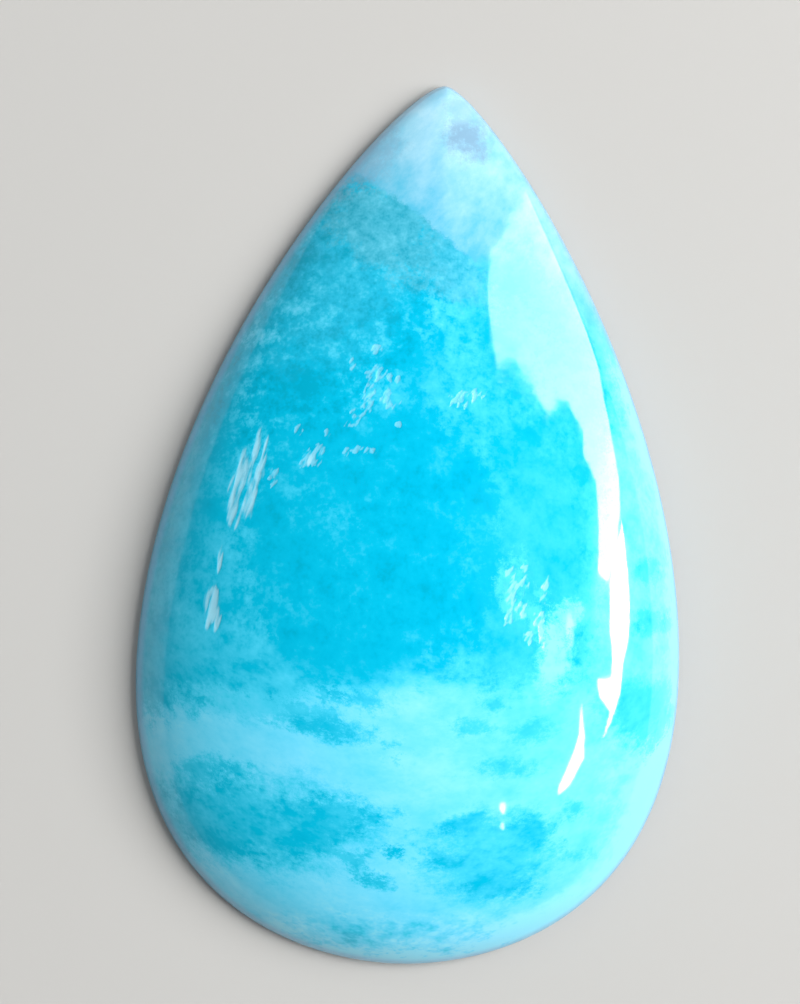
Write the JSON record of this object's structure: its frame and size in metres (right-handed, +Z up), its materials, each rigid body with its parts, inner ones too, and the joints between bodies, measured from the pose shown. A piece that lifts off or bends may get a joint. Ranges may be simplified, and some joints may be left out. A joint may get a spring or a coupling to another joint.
{
  "type": "pear cabochon of caribbean blue calcite",
  "caption": "Polished teardrop cabochon of caribbean blue calcite: a banded sea-blue and milky white domed stone with a blunt point, a low wall and a flat ground back to rest on or set in a mount",
  "frame": {"origin": "under the middle of the stone's box, on the plane of the flat back it rests on", "axes": "+Y runs along the stone from the rounded butt to the point; +Z is up out of the flat back through the dome; +X is across the stone, to the right with the point away from the viewer"},
  "size_m": [0.0266, 0.043, 0.0065],
  "materials": {
    "polished_calcite": "polished dome and wall, finely ground back; sea blue with milky white bands and a pale blue point"
  },
  "bodies": {
    "root": {"calcite_cabochon": "polished_calcite"}
  },
  "joints": []
}
